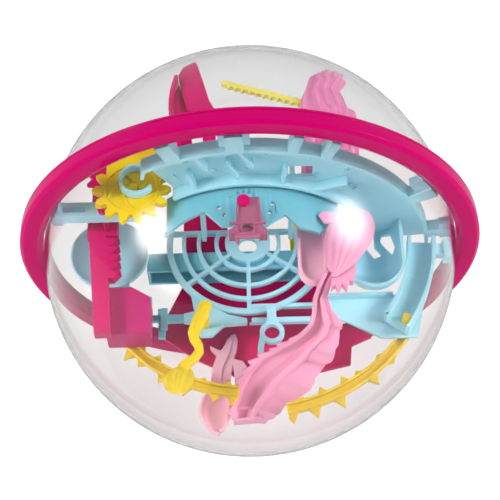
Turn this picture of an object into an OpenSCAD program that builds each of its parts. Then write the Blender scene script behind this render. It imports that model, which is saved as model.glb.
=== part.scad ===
// Ringed 3D maze ball: a clear two-part ball held by a magenta grip ring, with coloured
// track pieces inside. Millimetres. Every piece is drawn with the ring flat, +Z along the
// ring axis and the middle of the ball at the origin; lean() then lays the whole toy on a
// table, where it rests on the ball and on the low edge of the ring.

/* [Ball and ring] */
// Outer diameter of the grip ring
ring_d = 200; // [196:1:206]
// Height of the grip ring, both halves together
ring_h = 8.6; // [7.6:0.2:10]
// Height of the seam between the ring halves above the middle plane
ring_seam = 1.8; // [1.4:0.1:2.4]
// Outer diameter of the clear ball
ball_d = 179.4; // [178.6:0.2:181]
// Wall of the clear domes
dome_wall = 1.6; // [1.2:0.1:1.7]
// Thickness of each dome's rim flange
flange_t = 1.2; // [0.8:0.1:1.3]

/* [Main deck] */
// Outer radius of the curved deck
deck_r = 78; // [76:0.5:79]
// Inner radius of the deck floor
deck_in = 50; // [49.5:0.5:50.5]
// Thickness of the deck floor
deck_t = 1.6; // [1.2:0.1:1.6]
// Height of the corridor walls below the floor
wall_h = 5; // [4:0.5:5]
// Thickness of all track walls
wall_t = 1.5; // [1.2:0.1:1.6]

/* [Ring grid] */
// Radius of the outer ring of the grid
grid_r = 35.4; // [34:0.2:36]
// Width of each grid ring
grid_w = 1.8; // [1.4:0.1:2]
// Depth of the grid
grid_t = 2.4; // [1.6:0.2:2.4]

/* [Swing cup] */
// Height of the cup pin below the middle plane
pin_drop = 11.7; // [11:0.1:12.5]
// Radius of the pins' shafts
pin_r = 1.2; // [1:0.1:1.4]
// Gap round a pin's shaft
pin_gap = 0.06; // [0.03:0.01:0.1]

/* [Steel ball] */
// Diameter of the steel ball
steel_d = 6; // [5:0.1:6.4]

/* [Hidden] */
$fn = 96;
magenta = [0.886, 0.03, 0.47];
crimson = [0.78, 0.07, 0.35];
sky = [0.66, 0.86, 0.92];
teal = [0.36, 0.64, 0.70];
yellow = [0.96, 0.88, 0.12];
pink = [0.96, 0.69, 0.80];
clear = [0.85, 0.87, 0.88, 0.35];
steel = [0.75, 0.76, 0.78];

ring_r = ring_d / 2;
ring_in = ring_r - 7.3;        // inner radius of the ring's faces
flange_r = ring_r - 4;         // outer edge of the dome flanges
ball_r = ball_d / 2;
inner_r = ball_r - dome_wall;  // inside of the domes
reach = inner_r - 0.05;        // pieces that meet the dome end here
half_h = ring_h / 2;
// Lean of the ring's plane when the ball and the ring's edge both touch the table:
// ring_r * sin(lean) + half_h * cos(lean) = ball_r
lean_a = asin(ball_r / norm([ring_r, half_h])) - atan2(half_h, ring_r);

floor_z = 3;                   // underside of the deck floor
deck_top = floor_z + deck_t;
wall_z = floor_z - wall_h;     // lower edge of the corridor walls
grid_y = grid_t / 2;           // the grid's faces are at plus and minus this
grid_c = [-1, 4];              // middle of the grid, x and z
grid_top = 10.5;
gutter_d = 12;                 // the cross gutter's depth along Y
gutter_z = 0.5;                // top of the cross gutter
gutter_h = 9;
gutter_x = [-45.5, 42];
gutter_back = grid_y + gutter_d;
arm_y = [-37, -32];
arm_z = [-3.5, 3.5];
pin_x = -2.1;
cup_y = [-57.5, -52.6];
peg_at = [64.5, -41];
peg_r = 1.8;
channel_in = 68;
channel_out = 80;
channel_y = [-14, -6.5];
plate_y0 = -6.3;
dish_at = [-61, -4.5];         // x and z
bowl_x = 52;
bowl_y = -19;                  // plane of the bowl's rim
gear_at = [-48, 3];
gear_y = [-47, -44];
arm_pin_at = [-60.5, -0.7];

// ---- helpers ----

// Lays the toy on the table
module lean() {
    translate([0, 0, ball_r]) rotate([-lean_a, 0, 0]) children();
}

// Extrudes an outline drawn in X and Z from y0 to y1
module slab(y0, y1) {
    translate([0, y1, 0]) rotate([90, 0, 0]) linear_extrude(y1 - y0) children();
}

// A round rod along Y
module rod_y(at, r, y0, y1) {
    slab(y0, y1) translate(at) circle(r);
}

// A curved wall round the Z axis
module arc_wall(r0, r1, a0, a1, z0, z1) {
    rotate([0, 0, a0])
        rotate_extrude(angle = a1 - a0, $fn = 128)
            translate([r0, z0]) square([r1 - r0, z1 - z0]);
}

// A band along a path of points, with round corners and ends
module stroke(points, w) {
    for (i = [0 : len(points) - 1]) translate(points[i]) circle(w / 2, $fn = 32);
    for (i = [0 : len(points) - 2]) {
        step = points[i + 1] - points[i];
        translate(points[i]) rotate(atan2(step[1], step[0]))
            translate([0, -w / 2]) square([norm(step), w]);
    }
}

// A flat sector between two radii
module sector(r0, r1, a0, a1) {
    far = r1 * 1.6;
    intersection() {
        difference() {
            circle(r1, $fn = 160);
            circle(r0, $fn = 160);
        }
        polygon([[0, 0], far * [cos(a0), sin(a0)],
                 far * [cos((a0 + a1) / 2), sin((a0 + a1) / 2)],
                 far * [cos(a1), sin(a1)]]);
    }
}

// A flat strip between two edges, given as pairs of points
module ribbon(pairs, t) {
    for (i = [0 : len(pairs) - 2])
        hull()
            for (p = [pairs[i][0], pairs[i][1], pairs[i + 1][0], pairs[i + 1][1]])
                translate(p) cube(t, center = true);
}

// Thorns along an arc, standing on the radius r and pointing out (or in, when h < 0)
module thorns(r, h, w, angles) {
    for (a = angles)
        rotate(a) polygon([[r, -w / 2], [r + h, -w / 6], [r + h, w / 6], [r, w / 2]]);
}

// ---- ring and domes ----

module ring_lower() {
    color(magenta) lean() rotate_extrude($fn = 180) difference() {
        polygon([[ring_in, -half_h], [ring_r - 0.7, -half_h], [ring_r, -half_h + 0.7],
                 [ring_r, ring_seam], [flange_r, ring_seam], [flange_r, -flange_t],
                 [ring_in, -flange_t]]);
        translate([flange_r - 0.01, -half_h + 1.6])
            square([ring_r - flange_r - 1.6, half_h + ring_seam - 1.6 + 0.01]);
    }
}

module ring_upper() {
    color(magenta) lean() rotate_extrude($fn = 180)
        polygon([[ring_in, flange_t], [flange_r, flange_t], [flange_r, ring_seam],
                 [ring_r, ring_seam], [ring_r, half_h - 0.7], [ring_r - 0.7, half_h],
                 [ring_in, half_h]]);
}

module half_dome() {
    rotate_extrude($fn = 180) union() {
        intersection() {
            difference() {
                circle(ball_r, $fn = 180);
                circle(inner_r, $fn = 180);
            }
            square(ring_r);
        }
        translate([inner_r + 0.8, 0]) square([flange_r - inner_r - 0.8, flange_t]);
    }
}

module dome_upper() {
    color(clear) lean() half_dome();
}

module dome_lower() {
    color(clear) lean() mirror([0, 0, 1]) half_dome();
}

// ---- light blue structure ----

module deck_rib(from, to) {
    step = to - from;
    translate([from[0], from[1], wall_z + 0.6]) rotate([0, 0, atan2(step[1], step[0])])
        translate([0, -0.7, 0]) cube([norm(step), 1.4, wall_h]);
}

module main_deck() {
    color(sky) lean() difference() {
        union() {
            arc_wall(deck_in, deck_r, -123, -4, floor_z, deck_top);
            arc_wall(deck_r - wall_t, deck_r, -123, -4, wall_z, deck_top);
            arc_wall(54, 54 + wall_t, -124, -38, wall_z, floor_z + 0.6);
            deck_rib([-21, -74], [-16.5, -64]);
            deck_rib([-3, -76], [1.6, -65]);
            deck_rib([-8, -68], [-4, -58]);
            deck_rib([-24, -61], [-21.6, -51]);
            deck_rib([14, -54], [14.6, -63]);
            deck_rib([27, -48], [40, -52]);
            deck_rib([-41, -66], [-42.4, -59.5]);
        }
        translate([16, -60, 0]) cube([10, 7.5, 10]);
    }
}

// Curved wall under the deck that carries the cup pin
module bulkhead() {
    color(teal) lean() {
        difference() {
            intersection() {
                difference() {
                    cylinder(r = deck_in + wall_t + 0.1, h = 60, center = true, $fn = 128);
                    cylinder(r = deck_in, h = 62, center = true, $fn = 128);
                }
                slab(-60, -20) polygon([[-34, floor_z], [-34, -14.2],
                    [-26, -11.4], [-18, -9.8], [-11, -18.4], [7, -19], [14.5, -13],
                    [20, -18], [28, -18.2], [33, -12.6], [37, -10], [37, floor_z]]);
            }
            rod_y([pin_x, -pin_drop], pin_r, -60, -40);
            for (hole = [[-12, -9.3], [-10, -13.2], [9.5, -8.5], [8, -12.6]])
                rod_y(hole, 0.9, -60, -40);
        }
        for (a = [50, 66, 82, 98, 114, 130])
            rod_y([pin_x, -pin_drop] + 8.6 * [cos(a), sin(a)], 0.6, -52.4, -50.6);
    }
}

module tab(a, w, r0, z0, z1) {
    intersection() {
        rotate([0, 0, a]) translate([r0, -w / 2, z0]) cube([20, w, z1 - z0]);
        sphere(reach, $fn = 160);
    }
}

// Tabs that clip the deck between the domes
module mount_tabs() {
    color(sky) lean() difference() {
        union() {
            tab(-93.5, 7, deck_r - 2, -2.4, 4);
            tab(-93.5, 12, deck_r + 3, -1.2, 2.4);
            for (a = [-77, -67]) tab(a, 4, deck_r - 2, -2, 3.4);
            tab(-31, 6, deck_r - 2, -2, 3.4);
            tab(-33, 13, deck_r + 4, -1.2, 2.4);
            tab(-10, 5, deck_r - 2, -2, 3.4);
            tab(-10, 11, deck_r + 5, -1.2, 2.4);
            tab(-112, 6, deck_r - 2, -2, 3.4);
        }
        cylinder(r = deck_r, h = 40, center = true, $fn = 128);
    }
    color(sky) lean() intersection() {
        difference() {
            union() {
                translate([70, -12, -11]) cube([20, 4, 5]);
                translate([83, -13, -13]) cube([4, 6, 9]);
            }
            rod_y([0, 0], channel_out, -20, 0);
        }
        sphere(reach, $fn = 160);
    }
}

// Arm on the left that carries the gear, the star and the toothed post
module left_arm() {
    color(sky) lean() difference() {
        intersection() {
            union() {
                translate([-90, arm_y[0], arm_z[0]])
                    cube([45, arm_y[1] - arm_y[0], arm_z[1] - arm_z[0]]);
                translate([-82, -42, -2]) cube([4, 14, 4]);
            }
            sphere(reach, $fn = 160);
        }
        rod_y(arm_pin_at, pin_r, -45, -20);
        slab(-40, -30) polygon([[-77, -1.4], [-68, -1.4], [-68, 1.4], [-77, 1.4]]);
    }
}

module grid_ring(r, w) {
    difference() {
        circle(r + w / 2, $fn = 128);
        circle(r - w / 2, $fn = 128);
    }
}

// Upright grid of rings behind the bulkhead
module ring_grid() {
    color(sky) lean() slab(-grid_y, grid_y) {
        difference() {
            intersection() {
                translate(grid_c) {
                    for (r = [13.8, 21.6, 28.2]) grid_ring(r, grid_w);
                    grid_ring(grid_r - grid_w / 2, grid_w + 0.9);
                    circle(10);
                    for (a = [-90, -35, -142]) rotate(a) translate([0, -0.9])
                        square([grid_r - 1, 1.8]);
                }
                translate([-50, -40]) square([100, 40 + grid_top - 2]);
            }
            translate(grid_c + [0, -2]) circle(4);
        }
        translate([-38, grid_top - 2]) square([74, 2]);
    }
}

// Two straight rails from the grid to the right-hand plate
module grid_rails() {
    color(sky) lean() slab(-grid_y, grid_y) difference() {
        union() {
            translate([grid_c[0], -29]) square([31 - grid_c[0], 1.8]);
            translate([grid_c[0], -36.4]) square([31 - grid_c[0], 2.6]);
            translate([29.2, -36.4]) square([1.8, 9.2]);
        }
        translate(grid_c) difference() {
            circle(grid_r + 0.45, $fn = 128);
            circle(grid_r - grid_w - 0.45, $fn = 128);
        }
        translate(grid_c + [-0.9, -40]) square([1.8, 40]);
    }
}

// Struts that carry the grid from the deck
module bridge_struts() {
    color(sky) lean() for (x = [-21, 17])
        translate([x, -54, deck_top]) cube([2, 54 - grid_y, grid_top - deck_top]);
}

// Straight gutter across the middle, open downwards, where the steel ball runs
module cross_gutter() {
    wide = gutter_x[1] - gutter_x[0];
    color(teal) lean() translate([gutter_x[0], grid_y, gutter_z - gutter_h]) difference() {
        cube([wide, gutter_d, gutter_h]);
        translate([wall_t, wall_t, -1])
            cube([wide - 2 * wall_t, gutter_d - 2 * wall_t, gutter_h - wall_t + 1]);
    }
}

// Round dish on the left
module left_dish() {
    color(sky) lean() difference() {
        intersection() {
            rod_y(dish_at, 17, -8, 4);
            translate([dish_at[0], -21.5, dish_at[1]]) sphere(22.6, $fn = 128);
        }
        translate([dish_at[0], -21.5, dish_at[1]]) sphere(21, $fn = 128);
    }
}

module dish_bracket() {
    color(teal) lean() slab(-8, -4.2) difference() {
        translate([-58, -26]) square([6, 14]);
        translate(dish_at) circle(17, $fn = 96);
    }
}

module bowl_form(r) {
    translate([bowl_x, bowl_y, -17]) {
        sphere(r, $fn = 96);
        cylinder(r = r, h = 30, $fn = 96);
    }
}

// Long bowl on the right with two slots through it, hanging from the deck
module right_bowl() {
    color(sky) lean() difference() {
        intersection() {
            bowl_form(13.2);
            translate([30, bowl_y, -40]) cube([60, 30, 40 + floor_z]);
        }
        bowl_form(11.8);
        slab(-20, 0) polygon([[51, 0.5], [54, 1], [54, -4], [57, -9], [53.5, -10], [50.5, -5]]);
        slab(-20, 0) polygon([[57.5, 1], [61, 0], [62.5, -7], [61, -10.5], [59, -7],
                              [56.5, -2]]);
    }
}

// Curved upright channel on the right
module channel_part(r0, r1, y0, y1) {
    slab(y0, y1) sector(r0, r1, -36, -2.2);
}

module right_channel() {
    color(sky) lean() difference() {
        union() {
            channel_part(channel_in, channel_out, channel_y[1] - wall_t, channel_y[1]);
            channel_part(channel_in, channel_in + wall_t, channel_y[0], channel_y[1]);
            channel_part(channel_out - wall_t, channel_out, channel_y[0], channel_y[1]);
        }
        rod_y(peg_at, peg_r, -20, 0);
    }
}

module right_plate() {
    color(sky) lean() difference() {
        union() {
            slab(plate_y0, plate_y0 + 1.6)
                polygon([[31, -27.4], [66.5, -27.4], [72, -36], [69, -47.5], [54, -47.5],
                         [40, -39.5], [31, -37]]);
            slab(plate_y0 - 3, plate_y0 + 0.5) translate([32, -29]) square([28, 1.6]);
            slab(plate_y0, grid_y) translate([31, -37]) square([2, 9.6]);
        }
        rod_y(peg_at, peg_r, -20, 0);
    }
}

module grid_bracket() {
    color(sky) lean() slab(-grid_y, grid_y) difference() {
        polygon([[-26, -22], [-10, -32], [-2, -34], [-2, -36.4], [-12, -37], [-17, -42],
                 [-22, -42], [-23.5, -36], [-29, -35], [-29, -31], [-24.5, -30]]);
        translate(grid_c) circle(grid_r + 0.45, $fn = 128);
    }
}

module hook_lugs() {
    color(teal) lean() {
        slab(-grid_y, grid_y) {
            translate([-36, -34.6]) square([7, 3.2]);
            translate([-39, -38]) square([3, 10]);
            translate([-40.2, -31]) square([4, 2.6]);
        }
        slab(1.5, 3.5) {
            translate([-46, -30]) square([3, 9]);
            translate([-46, -33]) square([9, 3]);
            translate([-40, -41]) square([3, 9]);
        }
        slab(-grid_y, 3.5) translate([-39, -33]) square([2, 2]);
    }
}

// Ring-shaped guide on a short stem
module hoop() {
    color(sky) lean() slab(-3.6, -grid_y) difference() {
        union() {
            translate([8.4, -42]) circle(5.2);
            translate([6.4, -37.6]) square([4, 8.6]);
            stroke([[4.4, -44], [3.4, -49], [3.6, -54]], 2.4);
        }
        translate([8.4, -42]) circle(3.3);
    }
}

// ---- magenta pieces ----

module toothed_post() {
    tooth = 4;
    color(magenta) lean() difference() {
        slab(-22, -17) {
            polygon([[-69, 4], [-61.5, 4], [-57.5, -50], [-64, -50]]);
            translate([-69, -4]) square([13, 8]);
            for (i = [0 : 4])
                translate([-61.8 + 0.3 * i, -4.5 - tooth * i])
                    polygon([[0, 0], [6.5, -0.6], [3.5, -tooth], [0, -tooth]]);
        }
        rod_y(arm_pin_at, pin_r, -30, -10);
    }
}

module post_box() {
    color(crimson) lean() difference() {
        slab(-16.8, -4) polygon([[-62, -26], [-50, -26], [-42, -31], [-42, -48], [-60, -48]]);
        slab(-15.2, 0) polygon([[-60.4, -27.6], [-50.5, -27.6], [-43.6, -32], [-43.6, -46.4],
                                [-58.5, -46.4]]);
    }
}

// Large plate behind the grid
module base_plate() {
    color(crimson) lean() slab(gutter_back, gutter_back + 2)
        polygon([[-39, -28], [-39, -35], [-24, -46], [-8, -54], [20, -55], [42, -50],
                 [43, -41], [52, -37], [36, -29], [30, 0], [-26, 0]]);
}

module back_plate() {
    color(crimson) lean() slab(10, gutter_back)
        polygon([[-30, gutter_z], [-30, 24], [-12, 28], [-8, 8], [-8, gutter_z]]);
}

// Tall arch that stands on the deck
module magenta_arch() {
    color(magenta) lean() slab(-50, -44)
        polygon([[-33, deck_top], [-33, 50], [-31, 54], [-27.5, 59], [-25.5, 64.5],
                 [-21.5, 65.5], [-18.5, 50], [-17, 40], [-13, deck_top], [-18, deck_top],
                 [-19, 38], [-27, 38], [-28, deck_top]]);
}

module star_wheel() {
    points = 9;
    color(magenta) lean() slab(arm_y[1], arm_y[1] + 3) {
        translate([-61, 19]) polygon([for (i = [0 : 2 * points - 1])
            (i % 2 == 0 ? 8.4 : 5.4) * [cos(i * 180 / points), sin(i * 180 / points)]]);
        translate([-66, -2]) square([3.8, 20]);
    }
}

// ---- yellow pieces ----

module sun_gear() {
    teeth = 14;
    color(yellow) lean() {
        slab(gear_y[0], gear_y[1]) translate(gear_at) difference() {
            union() {
                circle(12.2);
                for (i = [0 : teeth - 1]) rotate(i * 360 / teeth)
                    polygon([[11, -2], [14.6, -1.7], [16.2, 0.3], [14.2, 1.5], [11, 2.1]]);
            }
        }
        rod_y([gear_at[0], 0.5], 2.5, gear_y[1] - 0.5, arm_y[0]);
    }
}

// Thin curled wall on the gear's face
module gear_scroll() {
    color(sky) lean() slab(gear_y[0] - 5, gear_y[0]) translate(gear_at + [2.4, 2]) {
        sector(6.2, 7.2, 60, 180);
        sector(6.2, 7.2, 180, 330);
    }
}

module yellow_strip() {
    color(yellow) lean() slab(-36, -33)
        polygon([[-60, arm_z[1]], [-57, arm_z[1]], [-56, 17], [-38, 22], [-38, 35],
                 [-50, 32], [-60, 24]]);
}

module spoon_track() {
    color(yellow) lean() {
        slab(-20, -17) {
            polygon([[-20.9, -34], [-15.4, -35.6], [-20.9, -49.6], [-19.9, -56.6], [-21.8, -61.4],
                     [-25, -64.6], [-27.4, -70], [-32.4, -68], [-29, -62.6], [-25.3, -59.6],
                     [-23.7, -56.4], [-26, -52.4], [-26.8, -48.8]]);
            translate([-29.8, -69.7]) circle(5.4);
        }
        rod_y([-18.6, -38], 1.7, -17, -grid_y);
    }
}

module left_thorn_track() {
    color(yellow) lean() slab(-3.8, -0.2) {
        sector(67, 71, -146, -95);
        thorns(70.8, 3.6, 3, [-143, -136, -131, -122, -113, -103, -97]);
        thorns(67.2, -3.4, 3, [-140, -134, -127, -108, -99]);
    }
}

module right_thorn_track() {
    color(yellow) lean() slab(-4, 0) {
        sector(76.4, 80.4, -80, -33);
        thorns(80.2, 4, 3, [-79, -72, -64, -52]);
        thorns(76.6, -4, 4, [-68, -57, -48]);
    }
}

// Ribbed rod in the upper dome
module feather_rod() {
    start = [-9.5, 59.5];
    step = [36, -12.5];
    color(yellow) lean() slab(-44, -41.5) {
        stroke([start, start + step], 2.2);
        for (i = [1 : 11])
            translate(start + step * i / 12) rotate(atan2(step[1], step[0]) + 60)
                translate([-2, -0.5]) square([4, 1]);
    }
}

module amber_post() {
    color(yellow) lean() slab(4, 9) polygon([[18, gutter_z], [22.5, gutter_z], [22.5, 14],
                                             [20, 16], [18, 14]]);
}

// Peg that locks the right-hand track to the plate and the channel
module track_peg() {
    color(yellow) lean() rod_y(peg_at, peg_r, -12, -4);
}

// ---- pink pieces ----

// Ribbed paddle, neck and long slide in one moulding
module pink_slide() {
    color(pink) lean() {
        slab(-45.5, -43) hull() {
            translate([41, -12.5]) circle(6.5, $fn = 32);
            translate([40.3, -23]) circle(10, $fn = 32);
            translate([33.5, -38.5]) circle(3, $fn = 32);
        }
        slab(-45.5, -44) stroke([[29.7, -12], [37, -13]], 4.6);
        ribbon([[[29, -43.5, -38], [36.5, -43.5, -38]],
                [[26, -38, -40], [35, -38, -40]],
                [[24.5, -30, -43.5], [33, -30, -43.5]],
                [[24, -23, -48], [38, -23, -50]]], 2);
        ribbon([[[24, -23, -48], [38, -23, -50]],
                [[17, -14, -53], [33, -14, -56]],
                [[5.5, -5.2, -57], [26.5, -5, -62]],
                [[-4, 3, -63], [16, 3, -70.5]],
                [[-5.5, 8, -71], [5, 9, -76.5]]], 2);
    }
}

// Round-bottomed pocket at the foot of the slide
module pink_pocket() {
    color(pink) lean() difference() {
        slab(8, 14) {
            translate([-12.6, -73]) circle(6);
            translate([-18.6, -73]) square([12, 15]);
        }
        slab(7, 12.5) {
            translate([-12.6, -73]) circle(4.6);
            translate([-17.2, -73]) square([9.2, 16]);
        }
    }
}

// Tall U-shaped pocket behind the paddle
module side_pocket() {
    color(pink) lean() difference() {
        slab(-38, -33) {
            translate([25.2, -30]) circle(5.9);
            translate([19.3, -30]) square([11.8, 21]);
            translate([26.5, -38.6]) square([3.5, 5]);
        }
        slab(-39, -34.5) {
            translate([25.2, -30]) circle(4.5);
            translate([20.7, -30]) square([9, 24]);
        }
    }
}

module pink_fork() {
    color(pink) lean() slab(9.5, gutter_back)
        polygon([[-15.5, -36], [-10.8, -42], [-8, -32.5], [-5, -36], [-6.5, -44], [-1, -47],
                 [0.5, -56], [-3.5, -57], [-4.5, -50], [-8, -50], [-9.5, -57.6],
                 [-17, -57.6], [-15, -49], [-11.5, -44.5]]);
}

// Shell that stands on the deck under the upper dome
module ridged_shell() {
    color(pink) lean() slab(-48, -44)
        polygon([[22, deck_top], [22, 43], [21.5, 50], [24, 57], [38.5, 60], [37, 57],
                 [40.5, 56.5], [38.5, 53], [41, 51.5], [41.5, 45], [45, 43], [44, 40.5],
                 [46.5, 39], [45, deck_top]]);
}

// ---- swinging cup and pins ----

module swing_cup() {
    y0 = cup_y[0];
    y1 = cup_y[1];
    color([0.85, 0.45, 0.58, 0.8]) lean() difference() {
        slab(y0, y1) {
            polygon([[-4.6, -9.4], [4.4, -9.4], [5.2, -22.6], [6.9, -24.5], [6.9, -27],
                     [4.4, -27], [3.6, -28.4], [-5, -28.4], [-5.8, -27], [-8.2, -27],
                     [-8.2, -24.5], [-5.4, -22.6]]);
        }
        rod_y([pin_x, -pin_drop], pin_r + pin_gap, y0 - 1, y1 + 1);
        slab(y0 + 1.2, y1 + 1) polygon([[-3.4, -15.5], [3.2, -15.5], [3.8, -29],
                                        [-4.2, -29]]);
        rod_y([-0.7, -23.4], 2.2, y0 - 1, y0 + 2);
    }
}

module cup_pin() {
    color(magenta) lean() {
        rod_y([pin_x, -pin_drop], pin_r, cup_y[0] - 0.5, -48);
        rod_y([pin_x, -pin_drop], 2.6, cup_y[0] - 1.6, cup_y[0] - 0.3);
    }
}

module arm_pin() {
    color(magenta) lean() {
        rod_y(arm_pin_at, pin_r, arm_y[0] - 0.5, -17);
        rod_y(arm_pin_at, 2.3, arm_y[0] - 1.6, arm_y[0]);
    }
}

module steel_ball() {
    color(steel) lean()
        translate([36, grid_y + gutter_d / 2, gutter_z - wall_t - steel_d / 2 - 0.2])
            sphere(d = steel_d, $fn = 64);
}

ring_lower();
ring_upper();
dome_lower();
dome_upper();
main_deck();
bulkhead();
mount_tabs();
left_arm();
ring_grid();
grid_rails();
bridge_struts();
cross_gutter();
left_dish();
dish_bracket();
right_bowl();
right_channel();
right_plate();
grid_bracket();
hook_lugs();
hoop();
toothed_post();
post_box();
base_plate();
back_plate();
magenta_arch();
star_wheel();
sun_gear();
gear_scroll();
yellow_strip();
spoon_track();
left_thorn_track();
right_thorn_track();
feather_rod();
amber_post();
track_peg();
pink_slide();
pink_pocket();
side_pocket();
pink_fork();
ridged_shell();
swing_cup();
cup_pin();
arm_pin();
steel_ball();
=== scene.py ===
# %% [markdown]
# # A 3D maze ball, finished in Blender
# The real object is a clear ball in two halves with a magenta ring round its equator and a maze of
# coloured plastic inside. Its sizes and places come from the CAD model, which this notebook loads
# first and never moves. What is added here is the finish: the plastics, the clear shells, the light,
# and those maze pieces whose ribs, thorns and rails are too sculpted for the CAD part.

# %% Load the CAD model
import math

import bpy
from mathutils import Matrix, Vector


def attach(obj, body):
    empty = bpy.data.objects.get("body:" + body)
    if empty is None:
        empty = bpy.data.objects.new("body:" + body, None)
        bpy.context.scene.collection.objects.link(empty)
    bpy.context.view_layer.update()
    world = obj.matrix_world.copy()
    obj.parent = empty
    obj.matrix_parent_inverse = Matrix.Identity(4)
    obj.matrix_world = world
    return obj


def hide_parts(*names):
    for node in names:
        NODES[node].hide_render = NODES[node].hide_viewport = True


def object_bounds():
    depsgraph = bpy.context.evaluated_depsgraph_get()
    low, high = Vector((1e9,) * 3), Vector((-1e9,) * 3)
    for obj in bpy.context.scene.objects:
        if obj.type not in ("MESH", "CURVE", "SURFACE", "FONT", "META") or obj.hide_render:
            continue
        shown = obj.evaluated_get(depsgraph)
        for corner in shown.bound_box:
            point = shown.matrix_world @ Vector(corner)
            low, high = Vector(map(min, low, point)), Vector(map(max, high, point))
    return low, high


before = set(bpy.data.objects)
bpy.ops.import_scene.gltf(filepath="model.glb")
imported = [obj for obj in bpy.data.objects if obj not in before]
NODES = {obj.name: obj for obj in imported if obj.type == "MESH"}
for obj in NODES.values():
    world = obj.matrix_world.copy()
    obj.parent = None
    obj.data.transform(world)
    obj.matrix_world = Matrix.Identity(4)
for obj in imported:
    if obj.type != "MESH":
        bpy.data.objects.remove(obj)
cad_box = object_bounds()
print("CAD box:", cad_box)

# %% [markdown]
# The ball rests on the table with its ring leaning. Every maze piece is easier to draw with the ring
# lying flat and the ball's centre at the origin, so a piece is modelled in that upright ball and then
# leaned once, mesh and all. The ball fills the CAD box from the table to its top, so its radius is
# half of that height, to a tenth of a millimetre.

# %% The upright ball and its lean
MM = 0.001
BALL_R = round(cad_box[1][2] / 2, 4)
RING_LEAN = math.radians(61.197)
LEAN = Matrix.Translation((0, 0, BALL_R)) @ Matrix.Rotation(-RING_LEAN, 4, "X")


def leaned(x, y, z):
    """A place in the upright ball, in millimetres, as a point over the table in metres."""
    return LEAN @ Vector((x * MM, y * MM, z * MM))


print("ball radius", BALL_R, "m, ring centre over the table", leaned(0, 0, 0))

# %% [markdown]
# The camera stands in front of the ball and looks down at it by about thirty degrees, close enough
# for the ring to open into a wide ellipse. It is turned a little about its own line of sight, so the
# ring's right end sits higher than its left. A long lens of nearly 90 mm keeps the ball round.

# %% Camera
LOOK_DOWN = math.radians(30.28)
TURN = 0.0263
DISTANCE = 0.5468
sight = Vector((0, math.cos(LOOK_DOWN), -math.sin(LOOK_DOWN)))
level = Vector((1, 0, 0))
above = level.cross(sight)
side = level * math.cos(TURN) - above * math.sin(TURN)
top = above * math.cos(TURN) + level * math.sin(TURN)
stand = Vector((0, 0, BALL_R)) - sight * DISTANCE
pose = Matrix((side, top, -sight)).transposed().to_4x4()
pose.translation = stand
bpy.ops.object.camera_add()
camera = bpy.context.object
camera.name = "camera"
camera.matrix_world = pose
camera.data.sensor_width = 36
camera.data.lens = 89.2
camera.data.shift_x = -0.0002
camera.data.shift_y = 0.0018
camera.data.clip_end = 20
bpy.context.scene.camera = camera
print("camera at", stand)

# %% [markdown]
# The studio is a white tent with a dark opening where the camera stands, so the clear shells have
# little to mirror in front and the colours inside stay strong. The tent gives most of the light, and
# mirrored rays see its front part at a third of its strength, as through a polarising filter.
# Standard colour keeps the magenta as strong as it is; the film look would wash it out.

# %% White tent
def ramp(nodes, join, value, start, end, low, high, smooth=True):
    """A node that turns a value from start to end into a number from low to high."""
    node = nodes.new("ShaderNodeMapRange")
    if smooth:
        node.interpolation_type = "SMOOTHSTEP"
    for name, number in (("From Min", start), ("From Max", end), ("To Min", low), ("To Max", high)):
        node.inputs[name].default_value = number
    join(value, node.inputs["Value"])
    return node


scene = bpy.context.scene
scene.view_settings.view_transform = "Standard"
sky_light = bpy.data.worlds.new("white_tent")
scene.world = sky_light
sky_light.use_nodes = True
tent, join = sky_light.node_tree.nodes, sky_light.node_tree.links.new
tent["Background"].inputs["Color"].default_value = (1, 1, 1, 1)
around = tent.new("ShaderNodeTexCoord")
to_camera = tent.new("ShaderNodeVectorMath")
to_camera.operation = "DOT_PRODUCT"
to_camera.inputs[1].default_value = -sight
join(around.outputs["Generated"], to_camera.inputs[0])
opening = ramp(tent, join, to_camera.outputs["Value"], 0.35, 0.9, 0.82, 0.22)
filtered = ramp(tent, join, to_camera.outputs["Value"], -0.25, 0.35, 0.6, 0.3)
mirrored = tent.new("ShaderNodeLightPath")
share = ramp(tent, join, mirrored.outputs["Is Glossy Ray"], 0, 1, 1.0, 0.3, smooth=False)
join(filtered.outputs["Result"], share.inputs["To Max"])
strength = tent.new("ShaderNodeMath")
strength.operation = "MULTIPLY"
join(opening.outputs["Result"], strength.inputs[0])
join(share.outputs["Result"], strength.inputs[1])
join(strength.outputs["Value"], tent["Background"].inputs["Strength"])
print("tent with", len(tent), "nodes")

# %% [markdown]
# Two round lamps in front make the two soft white spots on the clear shell. Each is a glowing disc,
# because its glow can fade from the middle to the edge, which an area lamp can't do, and the spots
# then have no hard rim. The camera sees their light and their reflections, and not the discs.

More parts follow.
